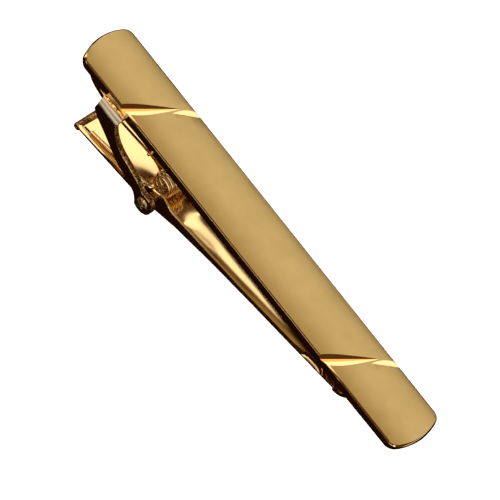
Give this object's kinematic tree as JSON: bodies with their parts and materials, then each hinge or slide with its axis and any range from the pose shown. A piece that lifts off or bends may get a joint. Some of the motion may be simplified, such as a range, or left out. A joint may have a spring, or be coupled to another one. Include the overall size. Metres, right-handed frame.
{
  "type": "tie clip",
  "caption": "tie clip with a slim satin front bar crossed by slanting grooves, a folded bracket on its back, and a hinged sprung lever with a rolled thumb tab and a toothed jaw",
  "frame": {"origin": "middle of the front bar's flat back face", "axes": "+X along the bar towards the jaw, +Y across the bar away from the side that the picture shows, +Z out of the bar's front face"},
  "size_m": [0.058, 0.01, 0.0119],
  "materials": {
    "bar_gold": "gold plated, satin brushed face with polished sides, bevels and grooves",
    "solder_gold": "gold plated solder fillet, slightly uneven",
    "bracket_gold": "gold plated, polished, with rougher cut edges",
    "pin_gold": "gold plated, polished, with hammered rivet heads",
    "spring_wire": "hard drawn spring wire with a thin gold plating",
    "lever_gold": "gold plated, bright polished"
  },
  "bodies": {
    "clip_body": {"front_bar": "bar_gold", "solder_seam": "solder_gold", "bracket": "bracket_gold", "hinge_pin": "pin_gold", "torsion_spring": "spring_wire"},
    "lever": {"lever": "lever_gold"}
  },
  "joints": [
    {"name": "lever_pivot", "type": "hinge", "parent": "clip_body", "child": "lever", "pos_m": [-0.0118, 0, -0.00635], "axis": [0, 1, 0], "range_deg": [0, 40], "stiffness_Nm_per_rad": 0.02, "springref_deg": -34.38, "deforming": ["torsion_spring"]}
  ]
}
